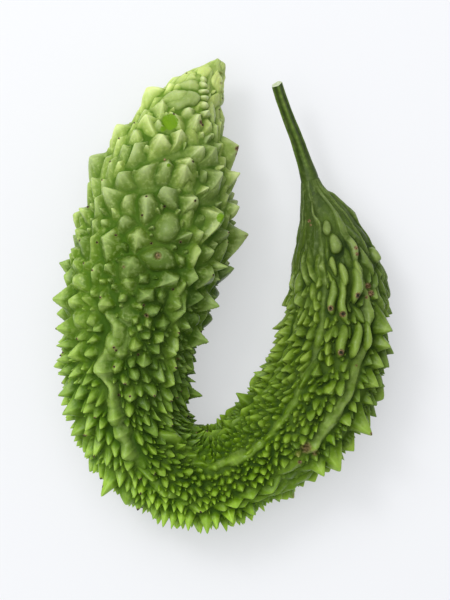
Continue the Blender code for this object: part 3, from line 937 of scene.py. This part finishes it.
def stem_material():
    n = Nodes("stem_skin")
    rib = n.attribute("rib")
    green = n.mix(rib, (0.030, 0.054, 0.006), (0.105, 0.170, 0.024))
    streak = n.ramp(n.noise(500.0), ((0.40, (0.75, 0.80, 0.70)), (0.65, (1.25, 1.2, 1.3))))
    green = n.mix(1.0, green, streak, "MULTIPLY")
    worn = n.ramp(n.noise(160.0), ((0.55, BLACK), (0.75, WHITE)))
    green = n.mix(n.maths("MULTIPLY", worn, 0.35), green, (0.17, 0.17, 0.055))
    flesh = n.ramp(n.noise(900.0), ((0.3, (0.42, 0.50, 0.28)), (0.7, (0.66, 0.70, 0.50))))
    n.join(n.mix(n.attribute("cut"), green, flesh), n.shader.inputs["Base Color"])
    n.shader.inputs["Roughness"].default_value = 0.42
    n.shader.inputs["Specular IOR Level"].default_value = 0.2
    bump = n.add("ShaderNodeBump")
    bump.inputs["Strength"].default_value = 0.4
    bump.inputs["Distance"].default_value = 0.0003
    n.join(n.noise(1200.0, 4.0), bump.inputs["Height"])
    n.join(bump.outputs["Normal"], n.shader.inputs["Normal"])
    return n.material


def floor_material():
    n = Nodes("pale_floor")
    n.shader.inputs["Base Color"].default_value = (0.42, 0.425, 0.44, 1.0)
    n.shader.inputs["Roughness"].default_value = 0.7
    # A little light of its own keeps the shadows on the white table as weak as they look.
    n.shader.inputs["Emission Color"].default_value = STUDIO_WHITE
    n.shader.inputs["Emission Strength"].default_value = 0.45
    return n.material


# ---------------------------------------------------------------- stage
VIEW_HEIGHT = 210.0        # what the camera sees from top to bottom, at the outline's level
OUTLINE_LEVEL = 22.0
CAMERA_DISTANCE = 900.0
CAMERA_CENTRE = (0.5, -1.75)
SENSOR_HEIGHT = 24.0


def make_stage():
    bpy.ops.mesh.primitive_plane_add(size=6.0)
    floor = bpy.context.object
    floor.name = "floor"
    floor.data.materials.append(floor_material())

    world = bpy.data.worlds.new("studio")
    world.use_nodes = True
    world.node_tree.nodes["Background"].inputs["Color"].default_value = STUDIO_WHITE
    world.node_tree.nodes["Background"].inputs["Strength"].default_value = 0.52
    bpy.context.scene.world = world
    add_light("key", (-0.42, 0.45, 1.45), 1.8, 18.0)
    add_light("glint", (-0.55, 0.55, 1.1), 0.35, 4.0)


def add_light(name, place, size, power):
    light = bpy.data.lights.new(name, "AREA")
    light.shape = "SQUARE"
    light.size = size
    light.energy = power
    lamp = bpy.data.objects.new(name, light)
    lamp.location = place
    lamp.rotation_euler = (-Vector(place)).to_track_quat("-Z", "Y").to_euler()
    bpy.context.scene.collection.objects.link(lamp)


def make_camera():
    camera = bpy.data.cameras.new("camera")
    camera.sensor_fit = "VERTICAL"
    camera.sensor_height = SENSOR_HEIGHT
    camera.lens = SENSOR_HEIGHT * CAMERA_DISTANCE / VIEW_HEIGHT
    viewer = bpy.data.objects.new("camera", camera)
    x, y = CAMERA_CENTRE
    viewer.location = Vector((x, y, OUTLINE_LEVEL + CAMERA_DISTANCE)) * MM
    bpy.context.scene.collection.objects.link(viewer)
    bpy.context.scene.camera = viewer


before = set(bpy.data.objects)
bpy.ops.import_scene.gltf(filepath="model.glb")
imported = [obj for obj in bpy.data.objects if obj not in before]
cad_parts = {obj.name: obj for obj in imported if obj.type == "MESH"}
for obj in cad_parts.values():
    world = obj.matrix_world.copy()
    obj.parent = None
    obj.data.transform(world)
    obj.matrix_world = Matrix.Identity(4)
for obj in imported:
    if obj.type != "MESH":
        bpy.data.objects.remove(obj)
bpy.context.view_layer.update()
bpy.context.scene.view_settings.view_transform = "Standard"
make_camera()
make_stage()
fruit = make_fruit()
fruit.data.materials.append(fruit_material())
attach(fruit, "root")
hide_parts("fruit")
stem = make_stem()
stem.data.materials.append(stem_material())
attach(stem, "root")
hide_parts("stem")
